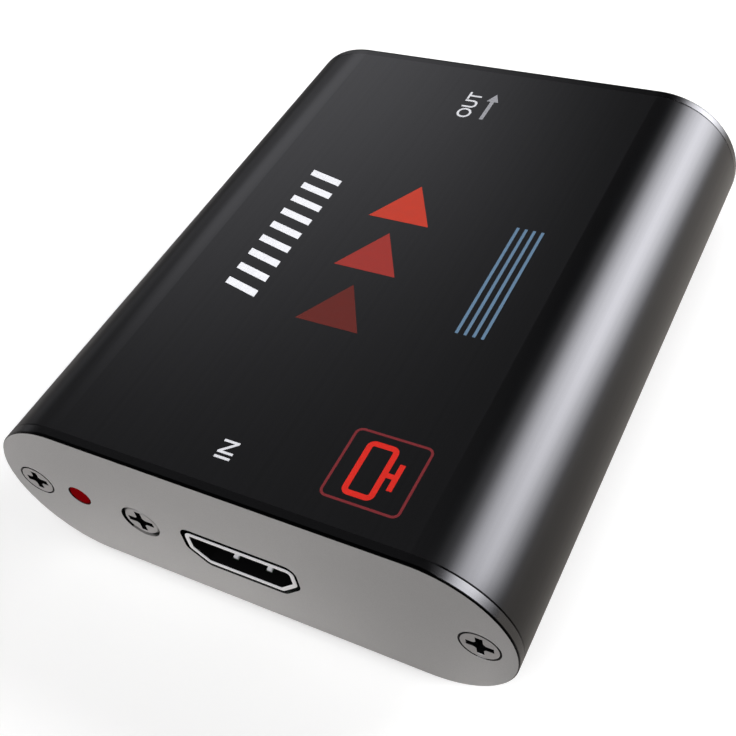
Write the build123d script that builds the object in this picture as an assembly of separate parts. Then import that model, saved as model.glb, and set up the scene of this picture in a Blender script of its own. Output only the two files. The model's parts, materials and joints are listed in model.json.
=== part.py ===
from build123d import *
import os

# Video capture box. All sizes are in millimetres. The front, with its HDMI socket, is at -Y, the USB socket
# is at +Y, +X is on the right seen from the front, and z = 0 is the surface that the box stands on.

# Box: an extruded aluminium tube with full-round sides, closed by a flat plate at each end
LENGTH = 90.0
WIDTH = 75.0
HEIGHT = 25.0
FOOT_STAND = 1.5
WALL = 1.8
PLATE_THICKNESS = 1.5
PLATE_CHAMFER = 0.15
CUT_OVERRUN = 1.0

# Screw channels of the tube, which are open towards the middle
CHANNEL_WALL = 1.35
CHANNEL_WEB = 4.0
CHANNEL_SLOT = 1.4

# Rails of the tube, which hold the board by its long edges
RAIL_THICKNESS = 1.2
RAIL_GRIP = 1.8

# Countersunk plate screws
SCREW_FROM_SIDE = 4.8
SCREW_DIAMETER = 3.0
SCREW_LENGTH = 8.0
SCREW_HEAD_DIAMETER = 4.9
SCREW_HOLE_GAP = 0.15
SCREW_SEAT_GAP = 0.28
SCREW_BORE_FIT = 0.04

# Cross recess of all screws, which is wider in the lock screw
CROSS_SPAN = 3.5
CROSS_WING = 0.95
CROSS_CORE = 1.75
CROSS_DEPTH = 1.5
CROSS_BOTTOM = 1.3

# Lock screw beside the HDMI socket, which takes a locking cable's screw, with its washer and threaded block
LOCK_X = -15.4
LOCK_DROP = 0.9
LOCK_HOLE_DIAMETER = 5.9
LOCK_HEAD_DIAMETER = 5.5
LOCK_HEAD_HEIGHT = 2.0
LOCK_HEAD_CHAMFER = 0.35
LOCK_HEAD_RECESS = 0.1
LOCK_CROSS_SPAN = 4.0
LOCK_SHANK_DIAMETER = 3.0
LOCK_SHANK_LENGTH = 6.5
LOCK_THREAD_FIT = 0.04
LOCK_WASHER_DIAMETER = 5.4
LOCK_WASHER_THICKNESS = 0.5
LOCK_WASHER_FIT = 0.08
LOCK_BLOCK_WIDTH = 7.0
LOCK_BLOCK_DEPTH = 6.5
LOCK_BLOCK_OVER = 3.0
LOCK_BLOCK_CHAMFER = 0.4

# Circuit board, whose top lies under the box's mid-height
BOARD_DROP = 4.8
BOARD_THICKNESS = 1.6
BOARD_FROM_SIDE = 4.5
BOARD_END_GAP = 0.3
BOARD_SIDE_GAP = 0.3
BOARD_RAIL_GAP = 0.15
BOARD_SLOT_GAP = 0.2

# Status light with its holder, between the lock block and the screw channel
LED_PLACE_SHARE = 0.585
LED_DIAMETER = 3.4
LED_HOLE_GAP = 0.1
LED_RECESS = 0.05
LED_EDGE_CHAMFER = 0.2
LED_BODY_LENGTH = 3.2
LED_FLANGE_DIAMETER = 4.2
LED_FLANGE_THICKNESS = 0.8
LED_HOLDER_WIDTH = 4.4
LED_HOLDER_DEPTH = 4.0
LED_HOLDER_OVER = 2.3
LED_LEAD_SIDE = 0.5
LED_LEAD_PITCH = 2.54
LED_LEAD_OVERHANG = 0.6

# HDMI socket: a formed shell with spring fingers, and a tongue with two rows of contacts
HDMI_WIDTH = 15.0
HDMI_HEIGHT = 4.55
HDMI_SIDE_HEIGHT = 2.5
HDMI_FLOOR_WIDTH = 10.8
HDMI_CORNER = 0.45
HDMI_SHEET = 0.3
HDMI_LIP_THICKNESS = 0.65
HDMI_LIP_LENGTH = 0.5
HDMI_LIP_CHAMFER = 0.12
HDMI_DEPTH = 11.5
HDMI_CUTOUT_GAP = 0.5
HDMI_CUTOUT_RISE = 0.4
HDMI_FINGER_X = 2.55
HDMI_FINGER_WIDTH = 0.7
HDMI_FINGER_TIP_DEPTH = 1.7
HDMI_FINGER_BEND_DEPTH = 2.4
HDMI_FINGER_ROOT_DEPTH = 6.6
HDMI_FINGER_BUMP = 0.18
HDMI_FINGER_SLIT = 0.25
HDMI_TAB_WIDTH = 1.1
HDMI_TAB_BELOW = 0.5
HDMI_TAB_FRONT_DEPTH = 3.2
HDMI_TAB_REAR_DEPTH = 9.4
HDMI_BODY_DEPTH = 7.0
HDMI_BODY_GAP = 0.04
HDMI_TONGUE_DEPTH = 2.4
HDMI_TONGUE_WIDTH = 11.2
HDMI_TONGUE_THICKNESS = 1.7
HDMI_TONGUE_DROP = 2.2
HDMI_CONTACT_PITCH = 1.0
HDMI_CONTACT_WIDTH = 0.3
HDMI_CONTACT_THICKNESS = 0.12
HDMI_CONTACT_FROM_TIP = 0.5
HDMI_TAIL_OVERHANG = 0.5
HDMI_TAIL_FOOT = 1.2
HDMI_TOP_CONTACTS = 10
HDMI_BOTTOM_CONTACTS = 9

# USB socket of the square kind with a raised top section
USB_SHELL_WIDTH = 12.04
USB_SHELL_DEPTH = 18.1
USB_SHEET = 0.4
USB_SHELL_ROUNDING = 0.6
USB_FACE_RECESS = 0.1
USB_CUTOUT_GAP = 0.4
USB_LOWER_WIDTH = 8.45
USB_LOWER_HEIGHT = 7.78
USB_LOWER_CHAMFER = 1.6
USB_LOWER_FROM_BOARD = 1.3
USB_UPPER_WIDTH = 5.9
USB_UPPER_HEIGHT = 2.3
USB_OVER_MOUTH = 1.32
USB_CORNER = 0.3
USB_CAVITY_DEPTH = 10.0
USB_BODY_GAP = 0.04
USB_TONGUE_RECESS = 2.6
USB_TONGUE_WIDTH = 5.6
USB_TONGUE_THICKNESS = 3.2
USB_TONGUE_DROP = 4.1
USB_BLADE_WIDTH = 4.9
USB_BLADE_THICKNESS = 0.9
USB_BLADE_DROP = 0.85
USB_PIN_THICKNESS = 0.2
USB_PIN_WIDTH = 0.7
USB_PIN_PITCH = 2.5
USB_PIN_FROM_TIP = 0.6
USB_BLADE_PIN_WIDTH = 0.45
USB_BLADE_PIN_PITCH = 0.95
USB_BLADE_PINS = 5
USB_TAB_WIDTH = 2.2
USB_TAB_THICKNESS = 0.4
USB_TAB_BELOW = 0.7
USB_TAB_FROM_FACE = 5.2
USB_TAIL_PINS = 9
USB_TAIL_PITCH = 1.1
USB_TAIL_WIDTH = 0.45
USB_TAIL_THICKNESS = 0.3
USB_TAIL_HEIGHT = 1.1
USB_TAIL_REACH = 1.4

# Main processor with its thermal pad and heat sink, behind the video receiver
FPGA_GAP = 4.0
FPGA_SIDE = 17.0
FPGA_THICKNESS = 1.5
PAD_SIDE = 15.0
PAD_THICKNESS = 0.5
SINK_SIDE = 17.0
SINK_BASE = 1.8
SINK_HEIGHT = 8.0
SINK_FINS = 7
SINK_FIN_THICKNESS = 0.9

# Video receiver with gull-wing leads on four sides, behind the surge protectors
RECEIVER_GAP = 1.2
RECEIVER_SIDE = 12.0
RECEIVER_THICKNESS = 1.4
RECEIVER_STANDOFF = 0.1
RECEIVER_LEADS = 8
RECEIVER_LEAD_PITCH = 1.25
RECEIVER_LEAD_WIDTH = 0.3
RECEIVER_LEAD_THICKNESS = 0.15
RECEIVER_LEAD_REACH = 1.0
RECEIVER_LEAD_FOOT = 0.55

# USB bridge and flash chip beside the USB socket, and memory chips on both sides of the processor
BRIDGE_GAP = 3.5
BRIDGE_FROM_END = 12.0
BRIDGE_SIDE = 8.0
BRIDGE_THICKNESS = 0.9
FLASH_GAP = 2.0
FLASH_SIDE = 5.2
FLASH_THICKNESS = 1.7
MEMORY_GAP = 2.9
MEMORY_WIDTH = 8.0
MEMORY_LENGTH = 12.5
MEMORY_THICKNESS = 1.1

# Crystals in metal cans, beside the video receiver
CRYSTAL_GAP = 2.9
CRYSTAL_WIDTH = 3.2
CRYSTAL_LENGTH = 2.5
CRYSTAL_HEIGHT = 0.8

# Power section: shielded inductors along the left rail and polymer capacitors beside them
INDUCTOR_GAP = 0.8
INDUCTOR_SIDE = 5.0
INDUCTOR_HEIGHT = 2.8
INDUCTOR_CHAMFER = 0.9
CAPACITOR_GAP = 1.0
CAPACITOR_DIAMETER = 5.0
CAPACITOR_HEIGHT = 5.8
CAPACITOR_BASE_SIDE = 5.3
CAPACITOR_BASE_HEIGHT = 0.8
POWER_ROWS = 3
POWER_PITCH = 6.2
POWER_FROM_END = 4.0

# Small ceramic capacitors on both sides of the processor
CERAMIC_GAP = 2.3
CERAMIC_WIDTH = 0.8
CERAMIC_LENGTH = 1.6
CERAMIC_HEIGHT = 0.8
CERAMIC_PITCH = 2.2
CERAMIC_ROWS = 6

# Surge protectors behind the HDMI socket
ESD_GAP = 0.9
ESD_WIDTH = 1.2
ESD_LENGTH = 2.4
ESD_HEIGHT = 0.55
ESD_PITCH = 2.6
ESD_COUNT = 4

# Rubber feet under the flat bottom
FOOT_DIAMETER = 8.0
FOOT_CHAMFER = 0.4
FOOT_FROM_FLAT_EDGE = 5.0
FOOT_FROM_END = 12.0

# Heights and places that follow from the sizes above
MID_Z = FOOT_STAND + HEIGHT / 2
FRONT_Y = -LENGTH / 2
REAR_Y = LENGTH / 2
TUBE_FRONT_Y = FRONT_Y + PLATE_THICKNESS
TUBE_REAR_Y = REAR_Y - PLATE_THICKNESS
TUBE_LENGTH = TUBE_REAR_Y - TUBE_FRONT_Y
SCREW_X = WIDTH / 2 - SCREW_FROM_SIDE
SCREW_HEAD_HEIGHT = (SCREW_HEAD_DIAMETER - SCREW_DIAMETER) / 2
BOARD_TOP = MID_Z - BOARD_DROP
BOARD_BOTTOM = BOARD_TOP - BOARD_THICKNESS
BOARD_FRONT_Y = TUBE_FRONT_Y + BOARD_END_GAP
BOARD_REAR_Y = TUBE_REAR_Y - BOARD_END_GAP
BOARD_LENGTH = BOARD_REAR_Y - BOARD_FRONT_Y
BOARD_WIDTH = WIDTH - 2 * BOARD_FROM_SIDE
RAIL_X = BOARD_WIDTH / 2 - RAIL_GRIP
HDMI_Z = BOARD_TOP + HDMI_SHEET + HDMI_HEIGHT / 2
USB_FACE_Y = REAR_Y - USB_FACE_RECESS
USB_SHELL_HEIGHT = USB_LOWER_FROM_BOARD + USB_LOWER_HEIGHT + USB_UPPER_HEIGHT + USB_OVER_MOUTH
USB_LOWER_Z = BOARD_TOP + USB_LOWER_FROM_BOARD
LOCK_Z = MID_Z - LOCK_DROP
LOCK_SEAT_Y = FRONT_Y + LOCK_HEAD_RECESS + LOCK_HEAD_HEIGHT
LOCK_BLOCK_Y = LOCK_SEAT_Y + LOCK_WASHER_THICKNESS
CHANNEL_RADIUS = SCREW_DIAMETER / 2 + SCREW_BORE_FIT + CHANNEL_WALL
LOCK_BLOCK_SIDE_X = LOCK_X - LOCK_BLOCK_WIDTH / 2
LED_X = LOCK_BLOCK_SIDE_X + (CHANNEL_RADIUS - SCREW_X - LOCK_BLOCK_SIDE_X) * LED_PLACE_SHARE
ESD_Y = FRONT_Y + HDMI_DEPTH + HDMI_TAIL_OVERHANG + HDMI_TAIL_FOOT + ESD_GAP + ESD_LENGTH / 2
RECEIVER_REACH = RECEIVER_SIDE / 2 + RECEIVER_LEAD_REACH
RECEIVER_Y = ESD_Y + ESD_LENGTH / 2 + RECEIVER_GAP + RECEIVER_REACH
FPGA_Y = RECEIVER_Y + RECEIVER_REACH + FPGA_GAP + FPGA_SIDE / 2
CERAMIC_X = FPGA_SIDE / 2 + CERAMIC_GAP + CERAMIC_WIDTH / 2
MEMORY_X = CERAMIC_X + CERAMIC_WIDTH / 2 + MEMORY_GAP + MEMORY_WIDTH / 2
CRYSTAL_X = RECEIVER_REACH + CRYSTAL_GAP + CRYSTAL_WIDTH / 2
BRIDGE_X = USB_SHELL_WIDTH / 2 + BRIDGE_GAP + BRIDGE_SIDE / 2
BRIDGE_Y = BOARD_REAR_Y - BRIDGE_FROM_END
FLASH_X = BRIDGE_X + BRIDGE_SIDE / 2 + FLASH_GAP + FLASH_SIDE / 2
INDUCTOR_X = INDUCTOR_SIDE / 2 + INDUCTOR_GAP - RAIL_X
CAPACITOR_X = INDUCTOR_X + INDUCTOR_SIDE / 2 + CAPACITOR_GAP + CAPACITOR_BASE_SIDE / 2


# Planes that face the front or the rear, and solids drawn on them

def front_plane(x, y, z):
    """A plane whose x is +X, whose y is +Z, and whose normal points out of the front."""
    return Plane(origin=(x, y, z), x_dir=(1, 0, 0), z_dir=(0, -1, 0))


def rear_plane(x, y, z):
    """The same for the rear, where x is -X."""
    return Plane(origin=(x, y, z), x_dir=(-1, 0, 0), z_dir=(0, 1, 0))


def slab(outline, x, y, z, depth):
    """An outline in (x, z) about a point, carried towards the rear by depth."""
    return extrude(front_plane(x, y, z) * outline, amount=depth, dir=(0, 1, 0))


def block(width, length, height, x, y, z):
    """A block that stands at z, centred on x and y."""
    return Pos(x, y, z) * Box(width, length, height, align=(Align.CENTER, Align.CENTER, Align.MIN))


def post(radius, height):
    """An upright round body that stands at z = 0."""
    return Cylinder(radius, height, align=(Align.CENTER, Align.CENTER, Align.MIN))


def span_box(low, high):
    """A box between two corners."""
    size = [b - a for a, b in zip(low, high)]
    return Pos(*low) * Box(*size, align=(Align.MIN, Align.MIN, Align.MIN))


# Screws, drawn with the head's top at z = 0 and the shank down -Z

def cross_recess(span):
    """Two crossed wings of that span round a square core, which all narrow towards the bottom."""
    wing_outline = Polygon(
        (-span / 2, CUT_OVERRUN),
        (span / 2, CUT_OVERRUN),
        (span / 2, 0),
        (CROSS_BOTTOM / 2, -CROSS_DEPTH),
        (-CROSS_BOTTOM / 2, -CROSS_DEPTH),
        (-span / 2, 0),
        align=None,
    )
    wing = extrude(Plane.XZ * wing_outline, amount=CROSS_WING / 2, both=True)
    core_side = CROSS_CORE / 2
    core = loft([
        Pos(0, 0, 0) * Rot(0, 0, 45) * Rectangle(CROSS_CORE, CROSS_CORE),
        Pos(0, 0, -CROSS_DEPTH) * Rot(0, 0, 45) * Rectangle(core_side, core_side),
    ])
    return wing + Rot(0, 0, 90) * wing + core


def countersunk_screw():
    """A countersunk screw with a right-angle cone under its head."""
    head_radius = SCREW_HEAD_DIAMETER / 2
    shank_radius = SCREW_DIAMETER / 2
    outline = Polygon(
        (0, 0),
        (head_radius, 0),
        (shank_radius, -SCREW_HEAD_HEIGHT),
        (shank_radius, -SCREW_LENGTH),
        (0, -SCREW_LENGTH),
        align=None,
    )
    return revolve(Plane.XZ * outline, axis=Axis.Z) - cross_recess(CROSS_SPAN)


def screw_seat():
    """What a countersunk screw takes out of the plate: its cone with a gap round it, and its hole."""
    cone_radius = SCREW_HEAD_DIAMETER / 2 + SCREW_SEAT_GAP
    hole_radius = SCREW_DIAMETER / 2 + SCREW_HOLE_GAP
    cone_depth = cone_radius - hole_radius
    outline = Polygon(
        (0, 0),
        (cone_radius, 0),
        (hole_radius, -cone_depth),
        (hole_radius, -max(cone_depth, PLATE_THICKNESS)),
        (0, -max(cone_depth, PLATE_THICKNESS)),
        align=None,
    )
    return revolve(Plane.XZ * outline, axis=Axis.Z)


def pan_screw():
    """The lock screw: a low round head with a chamfered rim, on a plain shank."""
    head_radius = LOCK_HEAD_DIAMETER / 2
    shank_radius = LOCK_SHANK_DIAMETER / 2
    tip = -LOCK_HEAD_HEIGHT - LOCK_SHANK_LENGTH
    outline = Polygon(
        (0, 0),
        (head_radius - LOCK_HEAD_CHAMFER, 0),
        (head_radius, -LOCK_HEAD_CHAMFER),
        (head_radius, -LOCK_HEAD_HEIGHT),
        (shank_radius, -LOCK_HEAD_HEIGHT),
        (shank_radius, tip),
        (0, tip),
        align=None,
    )
    return revolve(Plane.XZ * outline, axis=Axis.Z) - cross_recess(LOCK_CROSS_SPAN)


def plate_screw_places(plane, y):
    """The two places of an end's screws, one near each round side."""
    return [plane(side * SCREW_X, y, MID_Z) for side in (-1, 1)]


# Outlines of the two sockets

def hdmi_opening():
    """The socket's mouth about its mid-height: wide at the top, with slanted lower corners."""
    half_width = HDMI_WIDTH / 2
    half_floor = HDMI_FLOOR_WIDTH / 2
    top = HDMI_HEIGHT / 2
    knee = top - HDMI_SIDE_HEIGHT
    outline = Polygon(
        (-half_width, top),
        (half_width, top),
        (half_width, knee),
        (half_floor, -top),
        (-half_floor, -top),
        (-half_width, knee),
        align=None,
    )
    return fillet(outline.vertices(), HDMI_CORNER)


def usb_opening():
    """The mouth about its lower edge: a square with cut top corners under a smaller raised part."""
    half_lower = USB_LOWER_WIDTH / 2
    half_upper = USB_UPPER_WIDTH / 2
    shoulder = USB_LOWER_HEIGHT - USB_LOWER_CHAMFER
    lower = Polygon(
        (-half_lower, 0),
        (half_lower, 0),
        (half_lower, shoulder),
        (half_lower - USB_LOWER_CHAMFER, USB_LOWER_HEIGHT),
        (-half_lower + USB_LOWER_CHAMFER, USB_LOWER_HEIGHT),
        (-half_lower, shoulder),
        align=None,
    )
    upper_height = USB_LOWER_CHAMFER + USB_UPPER_HEIGHT
    upper = Pos(0, shoulder + upper_height / 2) * Rectangle(2 * half_upper, upper_height)
    return lower + upper


# Housing

def box_outline(inset=0):
    """The outside of the box in (x, z), drawn in by inset."""
    return SlotOverall(WIDTH - 2 * inset, HEIGHT - 2 * inset)


def channel_profile(side):
    """A screw channel that grows out of one round side."""
    web_length = WIDTH / 2 - SCREW_X
    web = Pos(side * (SCREW_X + web_length / 2), 0) * Rectangle(web_length, CHANNEL_WEB)
    return Pos(side * SCREW_X, 0) * Circle(CHANNEL_RADIUS) + web


def channel_void(side):
    """The channel's bore and the slot that opens it towards the middle."""
    bore_radius = SCREW_DIAMETER / 2 + SCREW_BORE_FIT
    slot_length = CHANNEL_RADIUS + CUT_OVERRUN
    slot = Pos(side * (SCREW_X - slot_length / 2), 0) * Rectangle(slot_length, CHANNEL_SLOT)
    return Pos(side * SCREW_X, 0) * Circle(bore_radius) + slot


def rail_profile(side):
    """The pair of rails on one side, as one block before the board's slot is cut."""
    low = BOARD_BOTTOM - MID_Z - RAIL_THICKNESS
    high = BOARD_TOP - MID_Z + BOARD_RAIL_GAP + RAIL_THICKNESS
    width = WIDTH / 2 - RAIL_X
    return Pos(side * (RAIL_X + width / 2), (low + high) / 2) * Rectangle(width, high - low)


def board_slots():
    """The space of the board's edges between the rails, open across the box."""
    low = BOARD_BOTTOM - MID_Z
    high = BOARD_TOP - MID_Z + BOARD_RAIL_GAP
    return Pos(0, (low + high) / 2) * Rectangle(BOARD_WIDTH + 2 * BOARD_SIDE_GAP, high - low)


def housing_tube():
    """One extrusion: the wall, two screw channels and two pairs of rails."""
    ribs = channel_profile(-1) + channel_profile(1) + rail_profile(-1) + rail_profile(1)
    wall = box_outline() - box_outline(WALL)
    profile = wall + (ribs & box_outline())
    profile = profile - channel_void(-1) - channel_void(1) - board_slots()
    tube = slab(profile, 0, TUBE_FRONT_Y, MID_Z, TUBE_LENGTH)
    for place in plate_screw_places(front_plane, FRONT_Y) + plate_screw_places(rear_plane, REAR_Y):
        tube = tube - place * screw_seat()
    return tube


def blank_plate(y, outer_y):
    """An end plate before its holes, with its outer edge chamfered."""
    plate = slab(box_outline(), 0, y, MID_Z, PLATE_THICKNESS)
    rim = [edge for edge in plate.edges() if abs(edge.center().Y - outer_y) < PLATE_CHAMFER]
    return chamfer(rim, PLATE_CHAMFER)


def front_plate():
    """The plate with the HDMI socket's cut-out, the lock screw's hole and the status light's hole."""
    plate = blank_plate(FRONT_Y, FRONT_Y)
    for place in plate_screw_places(front_plane, FRONT_Y):
        plate = plate - place * screw_seat()
    through = PLATE_THICKNESS + 2 * CUT_OVERRUN
    start_y = FRONT_Y - CUT_OVERRUN
    cutout = offset(hdmi_opening(), HDMI_LIP_THICKNESS + HDMI_CUTOUT_GAP)
    cutout = cutout + Pos(0, HDMI_CUTOUT_RISE) * cutout
    plate = plate - slab(cutout, 0, start_y, HDMI_Z, through)
    plate = plate - slab(Circle(LOCK_HOLE_DIAMETER / 2), LOCK_X, start_y, LOCK_Z, through)
    return plate - slab(Circle(LED_DIAMETER / 2 + LED_HOLE_GAP), LED_X, start_y, MID_Z, through)


def rear_plate():
    """The plate with the USB socket's cut-out."""
    plate = blank_plate(TUBE_REAR_Y, REAR_Y)
    for place in plate_screw_places(rear_plane, REAR_Y):
        plate = plate - place * screw_seat()
    through = PLATE_THICKNESS + 2 * CUT_OVERRUN
    width = USB_SHELL_WIDTH + 2 * USB_CUTOUT_GAP
    height = USB_SHELL_HEIGHT + 2 * USB_CUTOUT_GAP
    cutout = fillet(Rectangle(width, height).vertices(), USB_SHELL_ROUNDING + USB_CUTOUT_GAP)
    middle_z = BOARD_TOP + USB_SHELL_HEIGHT / 2
    return plate - slab(cutout, 0, TUBE_REAR_Y - CUT_OVERRUN, middle_z, through)


def rubber_feet():
    """Four round feet on the flat part of the bottom, chamfered where they meet the surface."""
    flat_half_width = (WIDTH - HEIGHT) / 2
    x = flat_half_width - FOOT_FROM_FLAT_EDGE
    y = LENGTH / 2 - FOOT_FROM_END
    foot = post(FOOT_DIAMETER / 2, FOOT_STAND)
    foot = chamfer(foot.edges().sort_by(Axis.Z)[0], FOOT_CHAMFER)
    return [Pos(i * x, j * y, 0) * foot for i in (-1, 1) for j in (-1, 1)]


# Lock screw group

def lock_screw():
    return front_plane(LOCK_X, FRONT_Y + LOCK_HEAD_RECESS, LOCK_Z) * pan_screw()


def lock_washer():
    """A plain washer that stays under the screw's head."""
    hole_radius = LOCK_SHANK_DIAMETER / 2 + LOCK_WASHER_FIT
    ring = Circle(LOCK_WASHER_DIAMETER / 2) - Circle(hole_radius)
    return slab(ring, LOCK_X, LOCK_SEAT_Y, LOCK_Z, LOCK_WASHER_THICKNESS)


def lock_block():
    """A threaded block that stands on the board behind the front plate."""
    height = LOCK_Z + LOCK_BLOCK_OVER - BOARD_TOP
    middle_y = LOCK_BLOCK_Y + LOCK_BLOCK_DEPTH / 2
    body = block(LOCK_BLOCK_WIDTH, LOCK_BLOCK_DEPTH, height, LOCK_X, middle_y, BOARD_TOP)
    body = chamfer(body.edges().filter_by(Axis.Y).sort_by(Axis.Z)[-2:], LOCK_BLOCK_CHAMFER)
    bore = Circle(LOCK_SHANK_DIAMETER / 2 + LOCK_THREAD_FIT)
    start_y = LOCK_BLOCK_Y - CUT_OVERRUN
    return body - slab(bore, LOCK_X, start_y, LOCK_Z, LOCK_BLOCK_DEPTH + 2 * CUT_OVERRUN)


# Status light

def led_lens():
    """A round lens with a chamfered front edge and a flange that seats on its holder."""
    radius = LED_DIAMETER / 2
    flange_top = LED_FLANGE_THICKNESS - LED_BODY_LENGTH
    outline = Polygon(
        (0, 0),
        (radius - LED_EDGE_CHAMFER, 0),
        (radius, -LED_EDGE_CHAMFER),
        (radius, flange_top),
        (LED_FLANGE_DIAMETER / 2, flange_top),
        (LED_FLANGE_DIAMETER / 2, -LED_BODY_LENGTH),
        (0, -LED_BODY_LENGTH),
        align=None,
    )
    lens = revolve(Plane.XZ * outline, axis=Axis.Z)
    return front_plane(LED_X, FRONT_Y + LED_RECESS, MID_Z) * lens


def led_holder():
    """A block on the board that carries the lens level with its hole."""
    front_y = FRONT_Y + LED_RECESS + LED_BODY_LENGTH
    height = MID_Z + LED_HOLDER_OVER - BOARD_TOP
    middle_y = front_y + LED_HOLDER_DEPTH / 2
    return block(LED_HOLDER_WIDTH, LED_HOLDER_DEPTH, height, LED_X, middle_y, BOARD_TOP)


def led_leads():
    """Two wires that leave the holder's back at the light's height and go down to the board."""
    back_y = FRONT_Y + LED_RECESS + LED_BODY_LENGTH + LED_HOLDER_DEPTH
    leads = []
    for side in (-1, 1):
        x = LED_X + side * LED_LEAD_PITCH / 2
        low_x = x - LED_LEAD_SIDE / 2
        high_x = x + LED_LEAD_SIDE / 2
        bend_y = back_y + LED_LEAD_OVERHANG + LED_LEAD_SIDE
        run = span_box((low_x, back_y, MID_Z - LED_LEAD_SIDE), (high_x, bend_y, MID_Z))
        drop = span_box((low_x, bend_y - LED_LEAD_SIDE, BOARD_TOP), (high_x, bend_y, MID_Z))
        leads.append(run + drop)
    return leads


# HDMI socket

def hdmi_finger(x, from_floor):
    """A strip of the shell, bent inwards near its free front end."""
    wall = HDMI_Z - HDMI_HEIGHT / 2 - HDMI_SHEET
    tip_y = FRONT_Y + HDMI_FINGER_TIP_DEPTH
    bend_y = FRONT_Y + HDMI_FINGER_BEND_DEPTH
    root_y = FRONT_Y + HDMI_FINGER_ROOT_DEPTH
    centre_line = [
        (tip_y, wall),
        (bend_y, wall + HDMI_FINGER_BUMP),
        (root_y - HDMI_FINGER_SLIT, wall),
        (root_y + HDMI_FINGER_SLIT, wall),
    ]
    over = [(y, z + HDMI_SHEET) for y, z in reversed(centre_line)]
    outline = Polygon(*centre_line, *over, align=None)
    strip = extrude(Plane.YZ * outline, amount=HDMI_FINGER_WIDTH / 2, both=True)
    if not from_floor:
        strip = strip.mirror(Plane.XY.offset(HDMI_Z))
    return Pos(x, 0, 0) * strip


def hdmi_shell():
    """Sheet formed round the mouth, with a thicker lip, four spring fingers and four board tabs."""
    mouth = hdmi_opening()
    body = slab(offset(mouth, HDMI_SHEET), 0, FRONT_Y, HDMI_Z, HDMI_DEPTH)
    lip = slab(offset(mouth, HDMI_LIP_THICKNESS), 0, FRONT_Y, HDMI_Z, HDMI_LIP_LENGTH)
    shell = body + lip - slab(mouth, 0, FRONT_Y - CUT_OVERRUN, HDMI_Z, HDMI_DEPTH + 2 * CUT_OVERRUN)
    rim = [edge for edge in shell.edges() if abs(edge.bounding_box().max.Y - FRONT_Y) < HDMI_LIP_CHAMFER]
    shell = chamfer(rim, HDMI_LIP_CHAMFER)

    slit_width = HDMI_FINGER_WIDTH + 2 * HDMI_FINGER_SLIT
    slit_front = FRONT_Y + HDMI_FINGER_TIP_DEPTH - HDMI_FINGER_SLIT
    slit_rear = FRONT_Y + HDMI_FINGER_ROOT_DEPTH
    for side in (-1, 1):
        x = side * HDMI_FINGER_X
        low_z = HDMI_Z - HDMI_HEIGHT / 2 - HDMI_SHEET
        high_z = HDMI_Z + HDMI_HEIGHT / 2 + HDMI_SHEET
        window = span_box(
            (x - slit_width / 2, slit_front, low_z),
            (x + slit_width / 2, slit_rear, high_z),
        )
        shell = shell - window
    for side in (-1, 1):
        for from_floor in (True, False):
            shell = shell + hdmi_finger(side * HDMI_FINGER_X, from_floor)
    for tab in hdmi_tabs():
        shell = shell + tab
    return shell


def hdmi_tab_places():
    """The x of each side's sheet and the y of each board tab."""
    side_x = HDMI_WIDTH / 2 + HDMI_SHEET / 2
    depths = (HDMI_TAB_FRONT_DEPTH, HDMI_TAB_REAR_DEPTH)
    return [(side * side_x, FRONT_Y + depth) for side in (-1, 1) for depth in depths]


def hdmi_tabs():
    """Tabs that go straight down from the shell's sides through the board."""
    top = HDMI_Z + HDMI_HEIGHT / 2 - HDMI_SIDE_HEIGHT + HDMI_CORNER
    bottom = BOARD_BOTTOM - HDMI_TAB_BELOW
    tabs = []
    for x, y in hdmi_tab_places():
        tabs.append(block(HDMI_SHEET, HDMI_TAB_WIDTH, top - bottom, x, y, bottom))
    return tabs


def hdmi_tongue_z():
    """The mid-height of the tongue, which hangs nearer to the wide top."""
    return HDMI_Z + HDMI_HEIGHT / 2 - HDMI_TONGUE_DROP


def hdmi_contact_rows():
    """Each row's contacts, as (x, bottom of the strip, top of the strip)."""
    half = HDMI_TONGUE_THICKNESS / 2
    middle = hdmi_tongue_z()
    strips = []
    for i in range(HDMI_TOP_CONTACTS):
        x = (i - (HDMI_TOP_CONTACTS - 1) / 2) * HDMI_CONTACT_PITCH
        strips.append((x, middle + half, middle + half + HDMI_CONTACT_THICKNESS))
    for i in range(HDMI_BOTTOM_CONTACTS):
        x = (i - (HDMI_BOTTOM_CONTACTS - 1) / 2) * HDMI_CONTACT_PITCH
        strips.append((x, middle - half - HDMI_CONTACT_THICKNESS, middle - half))
    return strips


def hdmi_contacts():
    """Nineteen strips that run along the tongue, through the body and down to a foot on the board."""
    start_y = FRONT_Y + HDMI_TONGUE_DEPTH + HDMI_CONTACT_FROM_TIP
    drop_y = FRONT_Y + HDMI_DEPTH + HDMI_TAIL_OVERHANG
    contacts = []
    for x, low, high in hdmi_contact_rows():
        left = x - HDMI_CONTACT_WIDTH / 2
        right = x + HDMI_CONTACT_WIDTH / 2
        strip = span_box((left, start_y, low), (right, drop_y, high))
        drop = span_box((left, drop_y - HDMI_CONTACT_THICKNESS, BOARD_TOP), (right, drop_y, high))
        foot_top = BOARD_TOP + HDMI_CONTACT_THICKNESS
        foot = span_box((left, drop_y, BOARD_TOP), (right, drop_y + HDMI_TAIL_FOOT, foot_top))
        contacts.append(strip + drop + foot)
    return contacts


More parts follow.
